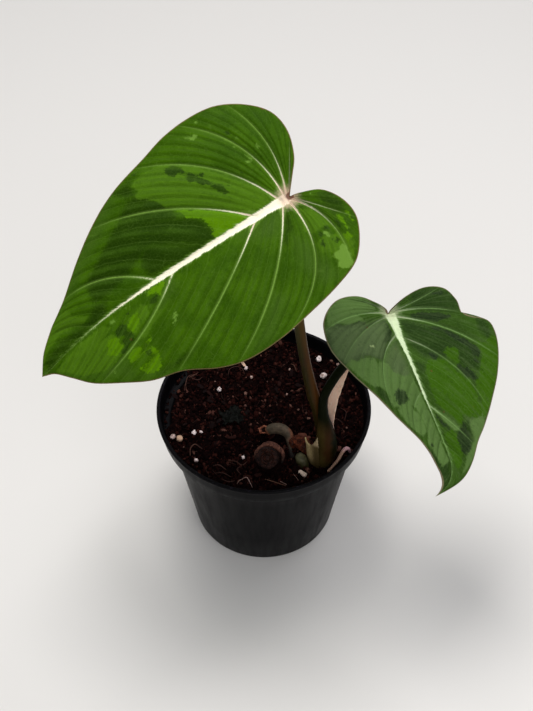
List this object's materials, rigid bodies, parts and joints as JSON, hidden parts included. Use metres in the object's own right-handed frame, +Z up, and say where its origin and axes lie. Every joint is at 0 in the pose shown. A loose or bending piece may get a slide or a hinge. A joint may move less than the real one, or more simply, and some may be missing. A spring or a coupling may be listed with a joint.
{
  "type": "potted philodendron gloriosum",
  "caption": "Creeping aroid house plant with broad heart-shaped variegated leaves on long stalks, standing in a filled plastic nursery pot.",
  "frame": {"origin": "middle of the pot's underside, where it stands", "axes": "+Z up, -Y towards the front, the side the leaves tip to"},
  "size_m": [0.2288, 0.1546, 0.2906],
  "materials": {
    "pot_plastic": "thin black moulded plastic, satin, a little dusty",
    "potting_mix": "damp coir and bark mix with white perlite",
    "rhizome_bark": "dull grey-green skin with brown scars",
    "pale_bud": "smooth pale green skin",
    "olive_stalk": "smooth olive brown skin with fine streaks",
    "green_stalk": "smooth dark green skin, olive at the foot",
    "dry_sheath": "dry papery sheath with fine ribs",
    "fresh_sheath": "fleshy pale green sheath",
    "old_leaf": "dark dried scrap",
    "large_blade": "velvety variegated green with cream veins",
    "small_blade": "velvety variegated dark green with pale veins"
  },
  "bodies": {
    "root": {"pot": "pot_plastic", "soil": "potting_mix", "rhizome": "rhizome_bark", "bud": "pale_bud", "petiole_large": "olive_stalk", "petiole_small": "green_stalk", "cataphyll": "dry_sheath", "sheath": "fresh_sheath", "straw": "dry_sheath", "leaf_litter": "old_leaf", "leaf_large": "large_blade", "leaf_small": "small_blade"}
  },
  "joints": []
}
